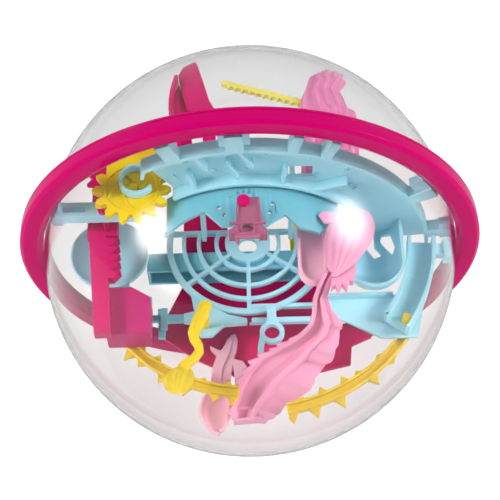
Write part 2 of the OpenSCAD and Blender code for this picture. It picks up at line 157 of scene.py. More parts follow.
# %% Two round lamps
def lamp(name, place, radius, glow):
    """A round diffuser at a place, facing the ball, brightest in its middle and fading to its edge."""
    bpy.ops.object.select_all(action="DESELECT")
    bpy.ops.mesh.primitive_circle_add(vertices=48, radius=radius, fill_type="TRIFAN")
    disc = bpy.context.object
    disc.name = name
    disc.location = place
    to_ball = Vector((0, 0, BALL_R)) - Vector(place)
    disc.rotation_euler = to_ball.to_track_quat("Z", "Y").to_euler()
    paint = bpy.data.materials.new(name + "_glow")
    paint.use_nodes = True
    nodes, join = paint.node_tree.nodes, paint.node_tree.links.new
    nodes.remove(nodes["Principled BSDF"])
    glowing = nodes.new("ShaderNodeEmission")
    place_on_disc = nodes.new("ShaderNodeTexCoord")
    reach = nodes.new("ShaderNodeVectorMath")
    reach.operation = "LENGTH"
    join(place_on_disc.outputs["Object"], reach.inputs[0])
    fade = ramp(nodes, join, reach.outputs["Value"], 0, radius, glow ** (1 / 3), 0, smooth=False)
    cube = nodes.new("ShaderNodeMath")
    cube.operation = "POWER"
    cube.inputs[1].default_value = 3
    join(fade.outputs["Result"], cube.inputs[0])
    join(cube.outputs["Value"], glowing.inputs["Strength"])
    join(glowing.outputs["Emission"], nodes["Material Output"].inputs["Surface"])
    disc.data.materials.append(paint)
    disc.visible_camera = False
    disc.visible_shadow = False
    print(name, "lit with glow", glow)


lamp("left_lamp", (-0.765, -0.435, 0.518), 0.32, 60)
lamp("right_lamp", (0.768, -0.387, 0.556), 0.34, 56)

# %% [markdown]
# The floor is a plain pale sheet just under the ball. It glows a little, so the shadow under the ball
# stays faint, and it is hidden from mirrored rays, so the clear shell doesn't turn white below.

# %% Floor
bpy.ops.object.select_all(action="DESELECT")
bpy.ops.mesh.primitive_plane_add(size=12, location=(0, 0, -0.0004))
floor = bpy.context.object
floor.name = "floor"
floor_paint = bpy.data.materials.new("pale_floor")
floor_paint.use_nodes = True
floor_shader = floor_paint.node_tree.nodes["Principled BSDF"]
floor_shader.inputs["Base Color"].default_value = (0.5, 0.5, 0.5, 1)
floor_shader.inputs["Roughness"].default_value = 0.9
floor_shader.inputs["Emission Color"].default_value = (1, 1, 1, 1)
floor_shader.inputs["Emission Strength"].default_value = 0.7
floor.data.materials.append(floor_paint)
floor.visible_glossy = False
print("floor laid just under the ball")

# %% [markdown]
# All the maze pieces and the ring are injection-moulded plastic. Up close, such plastic has a very
# fine orange peel from the mould, faint flow marks where the colour varies, and duller patches where
# it was handled. One shader group makes these, and each colour of plastic takes it with its own values.

# %% Shader group: moulded plastic surface
def group_socket(tree, name, kind, way, default=None):
    """One named way into or out of a node group."""
    socket = tree.interface.new_socket(name=name, in_out=way, socket_type=kind)
    if default is not None:
        socket.default_value = default
    return socket


moulded = bpy.data.node_groups.new("moulded_surface", "ShaderNodeTree")
group_socket(moulded, "Colour", "NodeSocketColor", "INPUT", (0.8, 0.8, 0.8, 1))
group_socket(moulded, "Deep Colour", "NodeSocketColor", "INPUT", (0.5, 0.5, 0.5, 1))
group_socket(moulded, "Flow", "NodeSocketFloat", "INPUT", 0.3)
group_socket(moulded, "Roughness", "NodeSocketFloat", "INPUT", 0.35)
group_socket(moulded, "Colour", "NodeSocketColor", "OUTPUT")
group_socket(moulded, "Roughness", "NodeSocketFloat", "OUTPUT")
group_socket(moulded, "Height", "NodeSocketFloat", "OUTPUT")
n, wire = moulded.nodes, moulded.links.new
g_in, g_out = n.new("NodeGroupInput"), n.new("NodeGroupOutput")
coords = n.new("ShaderNodeTexCoord")
flow = n.new("ShaderNodeTexNoise")
flow.inputs["Scale"].default_value = 28
flow.inputs["Detail"].default_value = 4
peel = n.new("ShaderNodeTexNoise")
peel.inputs["Scale"].default_value = 900
peel.inputs["Detail"].default_value = 2
wire(coords.outputs["Object"], flow.inputs["Vector"])
wire(coords.outputs["Object"], peel.inputs["Vector"])
amount = n.new("ShaderNodeMath")
amount.operation = "MULTIPLY"
wire(flow.outputs["Fac"], amount.inputs[0])
wire(g_in.outputs["Flow"], amount.inputs[1])
blend = n.new("ShaderNodeMix")
blend.data_type = "RGBA"
wire(amount.outputs[0], blend.inputs["Factor"])
wire(g_in.outputs["Colour"], blend.inputs["A"])
wire(g_in.outputs["Deep Colour"], blend.inputs["B"])
wire(blend.outputs["Result"], g_out.inputs["Colour"])
dull = n.new("ShaderNodeMath")
dull.operation = "MULTIPLY_ADD"
dull.inputs[1].default_value = 0.18
wire(flow.outputs["Fac"], dull.inputs[0])
wire(g_in.outputs["Roughness"], dull.inputs[2])
wire(dull.outputs[0], g_out.inputs["Roughness"])
wire(peel.outputs["Fac"], g_out.inputs["Height"])
print("group made:", moulded.name)

# %% [markdown]
# Each colour of plastic is one material. Colours are easiest to judge as the numbers from 0 to 255
# that a paint program shows, so they are written that way and turned into light values. The second,
# deeper colour is what the flow marks mix in. The mirror value is how much the surface reflects.

# %% Plastics
def srgb(red, green, blue):
    """A colour as the eye reads it, 0 to 255, as the light values that a shader wants."""
    def light(v):
        v /= 255
        return v / 12.92 if v <= 0.04045 else ((v + 0.055) / 1.055) ** 2.4
    return (light(red), light(green), light(blue), 1)


def plastic(name, colour, deep, roughness=0.3, flow_share=0.35, peel_depth=0.00002, mirror=0.35):
    """One colour of moulded plastic."""
    paint = bpy.data.materials.new(name)
    paint.use_nodes = True
    nodes, join = paint.node_tree.nodes, paint.node_tree.links.new
    shader = nodes["Principled BSDF"]
    surface = nodes.new("ShaderNodeGroup")
    surface.node_tree = moulded
    surface.inputs["Colour"].default_value = srgb(*colour)
    surface.inputs["Deep Colour"].default_value = srgb(*deep)
    surface.inputs["Flow"].default_value = flow_share
    surface.inputs["Roughness"].default_value = roughness
    bump = nodes.new("ShaderNodeBump")
    bump.inputs["Distance"].default_value = peel_depth
    join(surface.outputs["Colour"], shader.inputs["Base Color"])
    join(surface.outputs["Roughness"], shader.inputs["Roughness"])
    join(surface.outputs["Height"], bump.inputs["Height"])
    join(bump.outputs["Normal"], shader.inputs["Normal"])
    shader.inputs["Specular IOR Level"].default_value = mirror
    return paint


PAINT = {
    "magenta": plastic("magenta_plastic", (206, 0, 104), (190, 0, 90), 0.22, mirror=0.25),
    "ring_gloss": plastic("ring_plastic", (190, 0, 97), (178, 0, 88), 0.02, 0.2, 0.00001, 0.14),
    "crimson": plastic("crimson_plastic", (190, 36, 112), (170, 22, 98), 0.3, mirror=0.2),
    # A copy of the crimson, brighter and more saturated: painted light that lifts the shade the back plates
    # lie in.
    "shade_lifted_crimson": plastic("shade_lifted_crimson_plastic", (202, 12, 92), (178, 4, 74), 0.35, mirror=0.12),
    "sky": plastic("sky_plastic", (179, 232, 245), (146, 216, 232), 0.25),
    # The sky plastic darkened: painted shade for pieces that lie in shade.
    "teal": plastic("shaded_sky_plastic", (128, 200, 216), (92, 170, 190), 0.3),
    "yellow": plastic("yellow_plastic", (240, 212, 26), (228, 184, 8), 0.25),
    "honey": plastic("honey_plastic", (230, 198, 44), (216, 176, 26), 0.3),
    "pale_yellow": plastic("pale_yellow_plastic", (238, 226, 112), (228, 208, 84), 0.3),
    "rose_pink": plastic("rose_pink_plastic", (246, 164, 204), (228, 96, 160), 0.28, 0.8),
    "pink": plastic("pink_plastic", (242, 170, 200), (230, 144, 182), 0.25),
    # The pink made paler: painted light that lifts the shade on the fork and the two pockets.
    "shade_lifted_pink": plastic("shade_lifted_pink_plastic", (255, 200, 220), (252, 182, 206), 0.25),
}
print("plastics:", sorted(PAINT))

# %% [markdown]
# The two shells are clear, thin and polished. Real clear plastic takes a little of the light each
# time it passes a wall, most of all at the rim of the ball, where it is seen along the wall. Glass
# would also throw the maze into shade, because a lamp's ray can't be traced through it, so rays from
# lamps are let straight through by a transparent shader.

# %% Clear shells
def clear_plastic(name, tint, rim):
    """Clear plastic, greyer where the wall is seen along its length."""
    paint = bpy.data.materials.new(name)
    paint.use_nodes = True
    nodes, join = paint.node_tree.nodes, paint.node_tree.links.new
    shader = nodes["Principled BSDF"]
    shader.inputs["Transmission Weight"].default_value = 1
    shader.inputs["IOR"].default_value = 1.12
    shader.inputs["Coat Weight"].default_value = 0.5
    shader.inputs["Coat IOR"].default_value = 1.5
    shader.inputs["Coat Roughness"].default_value = 0.04
    shader.inputs["Roughness"].default_value = 0
    grazing = nodes.new("ShaderNodeLayerWeight")
    grazing.inputs["Blend"].default_value = 0.25
    shade = nodes.new("ShaderNodeMix")
    shade.data_type = "RGBA"
    shade.inputs["A"].default_value = tint
    shade.inputs["B"].default_value = rim
    edge_only = nodes.new("ShaderNodeMath")
    edge_only.operation = "POWER"
    edge_only.inputs[1].default_value = 3.0
    join(grazing.outputs["Facing"], edge_only.inputs[0])
    join(edge_only.outputs["Value"], shade.inputs["Factor"])
    join(shade.outputs["Result"], shader.inputs["Base Color"])
    path = nodes.new("ShaderNodeLightPath")
    through = nodes.new("ShaderNodeBsdfTransparent")
    through.inputs["Color"].default_value = (0.96, 0.96, 0.96, 1)
    either = nodes.new("ShaderNodeMixShader")
    join(path.outputs["Is Shadow Ray"], either.inputs[0])
    join(shader.outputs["BSDF"], either.inputs[1])
    join(through.outputs["BSDF"], either.inputs[2])
    join(either.outputs["Shader"], nodes["Material Output"].inputs["Surface"])
    return paint


PAINT["clear_upper"] = clear_plastic("clear_upper_shell", (0.815, 0.815, 0.815, 1), (0.55, 0.55, 0.56, 1))
# The lower shell's tint and rim lean a little to pink: a painted reflection of the pink plastic in the
# maze.
PAINT["clear_lower"] = clear_plastic("clear_lower_shell", (0.86, 0.843, 0.84, 1), (0.6, 0.58, 0.58, 1))
print("clear shells:", [name for name in PAINT if name.startswith("clear")])

# %% [markdown]
# The swinging cup is rose plastic that lets a little light through, which a small transmission weight
# gives. The ball that runs the maze is polished steel: a plain metal with a small roughness.

# %% Rose plastic and steel
PAINT["rose"] = plastic("rose_cup_plastic", (196, 120, 150), (174, 82, 122), 0.15)
PAINT["rose"].node_tree.nodes["Principled BSDF"].inputs["Transmission Weight"].default_value = 0.25
steel = bpy.data.materials.new("polished_steel")
steel.use_nodes = True
steel_shader = steel.node_tree.nodes["Principled BSDF"]
steel_shader.inputs["Metallic"].default_value = 1
steel_shader.inputs["Base Color"].default_value = (0.62, 0.63, 0.65, 1)
steel_shader.inputs["Roughness"].default_value = 0.12
PAINT["steel"] = steel
print("added:", PAINT["rose"].name, steel.name)

# %% [markdown]
# Each CAD node keeps its shape and gets the plastic that its real piece is moulded in, or a copy of it
# lightened or darkened with painted light or shade.

# %% Paint the CAD nodes
FINISH = {
    "magenta": "ring_lower ring_upper toothed_post magenta_arch star_wheel cup_pin arm_pin",
    "crimson": "post_box",
    # The back plates take the crimson copy brightened with painted light.
    "shade_lifted_crimson": "base_plate back_plate",
    "sky": "main_deck mount_tabs left_arm ring_grid grid_rails bridge_struts left_dish right_bowl "
           "right_channel right_plate grid_bracket hoop gear_scroll",
    # These pieces take the sky plastic darkened with painted shade.
    "teal": "bulkhead cross_gutter dish_bracket hook_lugs",
    "yellow": "sun_gear yellow_strip spoon_track amber_post track_peg",
    "honey": "left_thorn_track right_thorn_track",
    "pale_yellow": "feather_rod",
    "pink": "pink_slide pink_pocket side_pocket pink_fork ridged_shell",
    "rose": "swing_cup",
    "steel": "steel_ball",
}
for finish, names in FINISH.items():
    for name in names.split():
        mesh = NODES[name].data
        mesh.materials.clear()
        mesh.materials.append(PAINT[finish])
    print(finish, "on", len(names.split()), "nodes")

# %% [markdown]
# A moulded edge is never sharp. The CAD meshes are loose triangles, so a live Weld modifier joins
# them first, and a live Bevel then rounds every edge that turns by more than 35 degrees. The CAD
# mesh itself isn't touched, and it keeps its size, because a bevel only takes material off.

# %% Soft edges on the CAD nodes
SHARP = "steel_ball dome_upper dome_lower ring_upper ring_lower"
for name, node in NODES.items():
    if name not in SHARP.split():
        weld = node.modifiers.new("join_corners", "WELD")
        weld.merge_threshold = 0.000002
        soft = node.modifiers.new("soft_edges", "BEVEL")
        soft.width = 0.28 * MM
        soft.segments = 2
        soft.limit_method = "ANGLE"
        soft.angle_limit = math.radians(35)
        soft.harden_normals = True
print("edges softened on", len(NODES) - len(SHARP.split()), "nodes")

# %% [markdown]
# An operator acts on all that is selected, so a piece is selected alone before anything is done to
# it. A modifier is set up, and applied at once, so that the next step works on the real mesh. The
# one used most is Bevel: moulded plastic has a small rounding on every edge, which catches the light.

# %% Selecting and rounding
def alone(piece):
    """Selects this piece and nothing else."""
    bpy.ops.object.select_all(action="DESELECT")
    piece.select_set(True)
    bpy.context.view_layer.objects.active = piece


def use_modifier(piece, kind, **values):
    """Adds a modifier with these values and applies it."""
    alone(piece)
    modifier = piece.modifiers.new(kind.lower(), kind)
    for key, value in values.items():
        setattr(modifier, key, value)
    bpy.ops.object.modifier_apply(modifier=modifier.name)


def rounded(piece, radius, segments=2, angle=35):
    """Rounds the edges that turn by more than an angle, with a radius in millimetres."""
    use_modifier(piece, "BEVEL", width=radius * MM, segments=segments, limit_method="ANGLE",
                 angle_limit=math.radians(angle), use_clamp_overlap=True)


print("helpers for selecting, modifiers and edges are ready")

# %% [markdown]
# A flat moulding starts as a filled circle whose corners are moved to its outline, and the face is
# extruded to its thickness. A curved one starts as a grid whose points are moved, row by row, and
# Solidify gives it a wall. Both are drawn in the upright ball, in millimetres.

# %% Flat and curved mouldings
def plate(name, outline, front, back, edge=0.3):
    """A flat moulding from y = front to y = back, with its outline drawn in x and z."""
    bpy.ops.object.select_all(action="DESELECT")
    bpy.ops.mesh.primitive_circle_add(vertices=len(outline), radius=0.01, fill_type="NGON")
    piece = bpy.context.object
    piece.name = name
    for corner, (x, z) in zip(piece.data.vertices, outline):
        corner.co = leaned(x, front, z)
    bpy.ops.object.mode_set(mode="EDIT")
    bpy.ops.mesh.select_all(action="SELECT")
    step = LEAN.to_3x3() @ Vector((0, (back - front) * MM, 0))
    bpy.ops.mesh.extrude_region_move(TRANSFORM_OT_translate={"value": step})
    bpy.ops.mesh.select_all(action="SELECT")
    bpy.ops.mesh.normals_make_consistent(inside=False)
    bpy.ops.object.mode_set(mode="OBJECT")
    if edge:
        rounded(piece, edge)
    return piece


def lofted(name, rows, wall, edge=0.2):
    """A curved wall through rows of places, made from a grid, thickened to both sides."""
    bpy.ops.object.select_all(action="DESELECT")
    bpy.ops.mesh.primitive_grid_add(x_subdivisions=len(rows[0]) - 1, y_subdivisions=len(rows) - 1,
                                    size=0.02)
    piece = bpy.context.object
    piece.name = name
    places = [place for row in rows for place in row]
    for point, place in zip(piece.data.vertices, places):
        point.co = leaned(*place)
    use_modifier(piece, "SOLIDIFY", thickness=wall * MM, offset=0)
    if edge:
        rounded(piece, edge)
    return piece


print("helpers for flat and curved mouldings are ready")

# %% [markdown]
# A real moulding often has several parts that were modelled one by one. They are joined into one
# object, which then gets its plastic and smooth shading that keeps its sharp turns, and the CAD nodes
# that it stands for are hidden. Without that, the plain CAD shape would show through it.

# %% Joining and dressing a piece
def joined(name, pieces):
    """One object from several modelled parts of one moulding."""
    alone(pieces[0])
    for other in pieces[1:]:
        other.select_set(True)
    bpy.ops.object.join()
    bpy.context.object.name = name
    return bpy.context.object


def dressed(piece, paint, slot, *nodes, smooth=38, body="maze"):
    """Paints a finished piece, and says what it rides on and which CAD nodes it stands for."""
    piece.data.materials.clear()
    piece.data.materials.append(PAINT[paint])
    alone(piece)
    bpy.ops.object.shade_smooth_by_angle(angle=math.radians(smooth))
    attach(piece, body)
    if nodes:
        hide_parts(*nodes)
    print(piece.name, "has", len(piece.data.polygons), "faces and stands for", nodes or "nothing")
    return piece


print("helpers for joining and dressing are ready")

# %% [markdown]
# The long pink slide is the piece that shows most. It is one moulding: a ribbed leaf that faces the
# viewer, a narrow neck, and a lane that drops to the lower right of the ball's middle. The lane has a
# raised, saw-edged rail on its left and a pleated skirt on its right. Both edges are given as a few
# stations, and the rows between them are worked out, with the saw and the pleats added on the way.

# %% Pink slide: the lane
LANE = [
    ((29, -43.5, -36), (36.5, -43.5, -36)), ((26.2, -39, -39.5), (33.4, -39, -38.5)),
    ((24.8, -33, -42), (31.2, -33, -42.5)), ((24.2, -27, -45.5), (33.4, -27, -45)),
    ((23.2, -23, -48), (37.2, -23, -49)), ((20, -18, -49.6), (36.4, -18, -53.5)),
    ((15, -13, -51), (32.4, -13, -57)), ((9, -8, -52.4), (29.6, -8, -62)),
    ((2.2, -4, -54.6), (25, -4.5, -67)), ((-2.6, 0, -58.4), (19.5, -0.5, -70.8)),
    ((-6.2, 4, -64), (13.5, 4, -73.8)), ((-8.4, 7, -70.4), (8.6, 7, -76)),
    ((-9.0, 8.4, -76.6), (5.6, 8.6, -77.6)),
]


def between(a, b, t):
    """The place that lies the share t of the way from a to b."""
    return tuple(p + (q - p) * t for p, q in zip(a, b))


def station(t):
    """Left and right edge of the lane, t from 0 at the neck to 1 at its foot."""
    s = t * (len(LANE) - 1)
    i = min(int(s), len(LANE) - 2)
    return between(LANE[i][0], LANE[i + 1][0], s - i), between(LANE[i][1], LANE[i + 1][1], s - i)


def jag(i, every, shift):
    """A saw that rises over some rows and drops at once, never twice the same height."""
    turn = (i + shift) % every / every
    return turn * (0.8 + 0.2 * math.sin(2.3 * ((i + shift) // every)))


LANE_ROWS = 72
rows = []
for i in range(LANE_ROWS + 1):
    t = i / LANE_ROWS
    left, right = (Vector(p) for p in station(t))
    ahead = Vector(station(min(t + 0.03, 1))[0]) - Vector(station(max(t - 0.03, 0))[0])
    across = right - left
    face = across.cross(ahead).normalized()
    face = face if face.y < 0 else -face
    outward = across.normalized()
    saw = jag(i, 4, 1) * 3.2 * min(1, max(0, t - 0.38) * 8)
    below = min(1, max(0, t - 0.26) * 6)
    wave = 0.5 - 0.5 * math.cos(2 * math.pi * (i - 14) / 15)
    fin = (wave * 2.6 + jag(i, 6, 2) * 1.6) * below * (1.3 - 0.7 * t)
    pleat = (wave * 1.6 - 0.8 + abs((i / 5.0) % 1 - 0.5) * 1.2) * 1.4 * below
    rows.append([
        left - outward * saw + face * (1.9 + saw * 0.5),
        left + outward * 1.1 + face * 1.7,
        left + outward * 1.8 - face * 1.5,
        left + across * 0.34 - face * 1.9,
        left + across * 0.42 - face * 0.9,
        left + across * 0.47 + face * 1.3,
        left + across * 0.53 + face * 1.1,
        left + across * 0.60 - face * (1.0 - pleat * 0.5),
        left + across * 0.80 + face * (pleat * 1.3 - 0.9),
        left + across * 0.98 + outward * (fin - 1.4) + face * (pleat * 1.8 - 1.2),
    ])
lane = lofted("pink_lane", rows, 1.3, edge=0)
print("lane from", len(rows), "rows")

# %% [markdown]
# The leaf is a shallow cup with a pointed foot. Its ribs run from top to point, so they are a wave
# across the grid's columns that fades out at the rim, where the rim is turned up.

# %% Pink slide: the ribbed leaf
LEAF_RIBS = 5
rows = []
for i in range(37):
    v = i / 36
    x = 42.0 - 9.0 * v ** 1.5
    z = -9.5 - 29.5 * v
    half = 9.6 * math.sin(math.pi * min(1, 0.12 + v * 0.93)) ** 0.62 * (1 - 0.3 * v) + 1.2
    fading = math.sin(math.pi * min(1, v * 1.05))
    row = []
    for j in range(41):
        u = j / 20 - 1
        rib = 0.42 * math.cos(u * math.pi * LEAF_RIBS) * (1 - abs(u) ** 4) * fading
        bulge = 3.2 * (1 - u * u) * math.sin(math.pi * min(1, 0.1 + v * 0.9))
        row.append((x + half * u, -43.4 - bulge - rib, z + 1.5 * (1 - u * u) * (1 - v)))
    rows.append(row)
leaf = lofted("pink_leaf", rows, 1.0, edge=0)
arm = plate("pink_arm", [(28.0, -10.6), (30.4, -9.0), (37.0, -10.2), (38.0, -15.6), (30.0, -14.4)],
            -45.4, -43.8, 0.3)
root = plate("pink_root", [(34.5, -31.4), (42.1, -28.7), (42.0, -35.4), (40.4, -40.9), (38.9, -39.9),
                           (37.8, -44.4), (36.0, -41.2), (34.2, -44.8), (33.2, -41.6), (31.5, -43.3),
                           (31.8, -36.9)], -42.5, -38.5, 0.6)
print("leaf with", LEAF_RIBS, "ribs, its arm and its root")

# %% [markdown]
# The lane ends in a small open tray. It is a box whose front face is inset and pushed in, which
# leaves an even rim round the hollow.

# %% Pink slide: the tray at its foot
def hollowed(piece, rim, depth):
    """Pushes the front face of a flat moulding in, and leaves a rim round the hollow."""
    front = LEAN.to_3x3() @ Vector((0, -1, 0))
    alone(piece)
    bpy.ops.object.mode_set(mode="EDIT")
    bpy.ops.mesh.select_all(action="DESELECT")
    bpy.ops.object.mode_set(mode="OBJECT")
    for side_face in piece.data.polygons:
        side_face.select = side_face.normal.dot(front) > 0.9
    bpy.ops.object.mode_set(mode="EDIT")
    bpy.ops.mesh.select_mode(type="FACE")
    bpy.ops.mesh.inset(thickness=rim * MM)
    bpy.ops.mesh.extrude_region_move(TRANSFORM_OT_translate={"value": front * -depth * MM})
    bpy.ops.object.mode_set(mode="OBJECT")


tray = plate("pink_tray", [(-9.4, -71.6), (3.2, -70.8), (3.4, -76.9), (-8.6, -77.6)], 6.4, 11.5, 0)
hollowed(tray, 1.1, 3.2)
rounded(tray, 0.3)
dressed(joined("pink_slide_track", [lane, leaf, arm, root, tray]), "pink", "pink", "pink_slide",
        smooth=28)

# %% [markdown]
# A moulding that is round about the ball's axis, such as the grip ring, is a profile that is spun.
# The profile starts as an empty circle whose corners are moved, spin carries it round, and the seam
# where the turn closes is merged before the normals are made to point outwards.

# %% Grip ring
def spun(name, profile, turn=360, start=0, steps=180, edge=0.5, segments=3):
    """A profile of (radius, height) places, spun about the ring's axis."""
    bpy.ops.object.select_all(action="DESELECT")
    bpy.ops.mesh.primitive_circle_add(vertices=len(profile), radius=0.01, fill_type="NOTHING")
    piece = bpy.context.object
    piece.name = name
    place = math.radians(start)
    for corner, (reach, height) in zip(piece.data.vertices, profile):
        corner.co = (reach * MM * math.cos(place), reach * MM * math.sin(place), height * MM)
    bpy.ops.object.mode_set(mode="EDIT")
    bpy.ops.mesh.select_all(action="SELECT")
    bpy.ops.mesh.spin(steps=steps, angle=math.radians(turn), center=(0, 0, 0), axis=(0, 0, 1))
    bpy.ops.mesh.select_all(action="SELECT")
    bpy.ops.mesh.remove_doubles(threshold=0.000005)
    bpy.ops.mesh.normals_make_consistent(inside=False)
    bpy.ops.object.mode_set(mode="OBJECT")
    piece.data.transform(LEAN)
    piece.data.update()
    if edge:
        rounded(piece, edge, segments, 25)
    return piece


lower_ring = spun("grip_ring_lower", [
    (92.7, -4.3), (98.6, -4.3), (100, -3.0), (100, 1.45), (99.72, 1.62), (99.72, 1.78),
    (90.0, 1.78), (90.0, -2.4)], edge=0.8, segments=4)
upper_ring = spun("grip_ring_upper", [
    (90.0, 1.82), (99.72, 1.82), (99.72, 1.98), (99.95, 2.15), (99.8, 3.1), (99.45, 3.18),
    (99.45, 3.34), (99.3, 3.6), (97.6, 4.3), (92.7, 4.3), (90.0, 2.6)], edge=0.25)
dressed(lower_ring, "ring_gloss", "magenta", "ring_lower", smooth=50)
dressed(upper_ring, "ring_gloss", "magenta", "ring_upper", smooth=50)

# %% [markdown]
# Each clear half is a fine icosphere, so that no pole shows as a flaw in the reflections. It is cut
# at the ring with bisect, and Solidify gives it the real wall of 1.6 mm inwards. Its rim ends inside
# the ring, which hides it.

# %% Clear halves
def clear_half(name, way):
    """Half of the ball: way is 1 for the upper half and -1 for the lower."""
    bpy.ops.object.select_all(action="DESELECT")
    bpy.ops.mesh.primitive_ico_sphere_add(subdivisions=7, radius=BALL_R - 0.00002)
    piece = bpy.context.object
    piece.name = name
    bpy.ops.object.mode_set(mode="EDIT")
    bpy.ops.mesh.select_all(action="SELECT")
    bpy.ops.mesh.bisect(plane_co=(0, 0, way * 0.05 * MM), plane_no=(0, 0, way), clear_inner=True)
    bpy.ops.object.mode_set(mode="OBJECT")
    piece.data.transform(LEAN)
    piece.data.update()
    use_modifier(piece, "SOLIDIFY", thickness=1.6 * MM, offset=-1)
    return piece


dressed(clear_half("clear_upper_half", 1), "clear_upper", "clear", "dome_upper", smooth=60)
dressed(clear_half("clear_lower_half", -1), "clear_lower", "clear", "dome_lower", smooth=60)

# %% [markdown]
# Two mouldings stand on the deck under the upper half. The magenta one is a tall blade with a thin
# curved wall on its left, and a thin web and a rung between them. The blade, web and rung are flat,
# so they are extruded outlines, and the wall is a curved grid.

# %% Magenta arch
DECK_TOP = 4.7
blade = plate("arch_blade", [
    (-29.3, 61.5), (-27.4, 66), (-22.0, 69.5), (-21.0, 67.7), (-17.7, 55.3), (-15.8, 47.4),
    (-13.2, 42), (-13.0, DECK_TOP), (-18.0, DECK_TOP), (-19.0, 38), (-25.4, 43), (-27.8, 52.6)],
    -47.4, -44.0, 0.5)
rows = []
for i in range(13):
    t = i / 12
    x = -28.4 - 3.9 * math.sin(math.pi * min(1, 0.12 + t * 1.3))
    z = 59.4 - 54.6 * t
    rows.append([(x, y, z) for y in (-50.5, -48, -45.5, -43, -40.5)])
curl = lofted("arch_wall", rows, 1.5, edge=0.3)
web = plate("arch_web", [(-29.0, 58.0), (-27.0, 50), (-24.0, 41.0), (-22.0, DECK_TOP),
                         (-29.2, DECK_TOP), (-31.6, 50)], -45.6, -44.4, 0.2)
rung = plate("arch_rung", [(-31.5, 36), (-17.5, 36), (-17.5, 38.4), (-31.5, 38.4)], -48, -42, 0.4)
dressed(joined("magenta_arch_piece", [blade, curl, web, rung]), "magenta", "magenta", "magenta_arch")

# %% [markdown]
# The pink moulding is a shell with long ridges, a torn-looking top and a notched right side. It is a
# curved wall: each row runs from the left side to the right side, and its places are pushed in and
# out by the ridges. The sides are given as a few places by height, from 0 at the foot to 1 at the top.

# %% Ridged shell
LEFT_SIDE = [(0, 22.4), (0.6, 22.6), (0.7, 23.2), (0.83, 24), (0.94, 26.2), (1, 27.4)]
RIGHT_SIDE = [(0, 46), (0.6, 46.8), (0.66, 46.4), (0.68, 43.2), (0.78, 41.6), (0.84, 40), (0.88, 42),
              (0.93, 43.6), (0.945, 41.4), (1, 42.6)]
TORN = [0.0, 1.0, 0.3, 1.2, 0.6, 0.2, 1.3, 0.5, 0.9, 0.1, 1.2, 0.4, 0.8, 0.2, 0.9, 1.6]


def side_at(side, v):
    """The shell's left or right side, read between its places, v from foot to top."""
    for (v0, x0), (v1, x1) in zip(side, side[1:]):
        if v <= v1:
            return x0 + (x1 - x0) * (v - v0) / (v1 - v0)
    return side[-1][1]


rows = []
for i in range(61):
    v = i / 60
    left_x, right_x = side_at(LEFT_SIDE, v), side_at(RIGHT_SIDE, v)
    row = []
    for j in range(61):
        u = j / 60
        k = min(int(u * 15), 14)
        torn = TORN[k] + (TORN[k + 1] - TORN[k]) * (u * 15 - k)
        top_z = 58.8 + 2.2 * u + torn * v ** 4
        fold = abs((u * 4.5 + 0.5 * v) % 1 - 0.5) * 1.6
        ridge = 0.3 * math.sin(u * 57 + v * 9) + 0.25 * math.sin(u * 31 + 4 * v)
        y = -43.4 - 4.6 * (1 - (2 * u - 1) ** 2) - fold - ridge + 2.4 * max(0, u - 0.85)
        row.append((left_x + (right_x - left_x) * u, y, DECK_TOP + (top_z - DECK_TOP) * v))
    rows.append(row)
shell = lofted("ridged_shell_piece", rows, 1.2, edge=0)
dressed(shell, "rose_pink", "pink", "ridged_shell", smooth=24)

# %% [markdown]
# A rod that bends, such as the spoon's handle, is a tube of rings. The tube is a grid whose first and
# last column lie on each other; they are merged, and the two open ends are filled. The section is
# flat at the back and round in front, like the real moulding.

# %% Spoon handle
def swept(name, stations, sides=20):
    """A closed rod through stations of (x, z, half width, front y, back y)."""
    rows = []
    for i, (x, z, half, front_y, back_y) in enumerate(stations):
        before, after = stations[max(i - 1, 0)], stations[min(i + 1, len(stations) - 1)]
        way = Vector((after[0] - before[0], after[1] - before[1])).normalized()
        row = []
        for j in range(sides + 1):
            turn = 2 * math.pi * j / sides
            out = math.copysign(abs(math.cos(turn)) ** 0.6, math.cos(turn)) * half
            deep = math.copysign(abs(math.sin(turn)) ** 0.8, math.sin(turn))
            y = (front_y + back_y) / 2 + deep * (back_y - front_y) / 2
            row.append((x - way.y * out, y, z + way.x * out))
        rows.append(row)
    bpy.ops.object.select_all(action="DESELECT")
    bpy.ops.mesh.primitive_grid_add(x_subdivisions=sides, y_subdivisions=len(rows) - 1, size=0.02)
    piece = bpy.context.object
    piece.name = name
    for point, place in zip(piece.data.vertices, [place for row in rows for place in row]):
        point.co = leaned(*place)
    bpy.ops.object.mode_set(mode="EDIT")
    bpy.ops.mesh.select_all(action="SELECT")
    bpy.ops.mesh.remove_doubles(threshold=0.000005)
    bpy.ops.mesh.fill_holes(sides=0)
    bpy.ops.mesh.select_all(action="SELECT")
    bpy.ops.mesh.normals_make_consistent(inside=False)
    bpy.ops.object.mode_set(mode="OBJECT")
    return piece


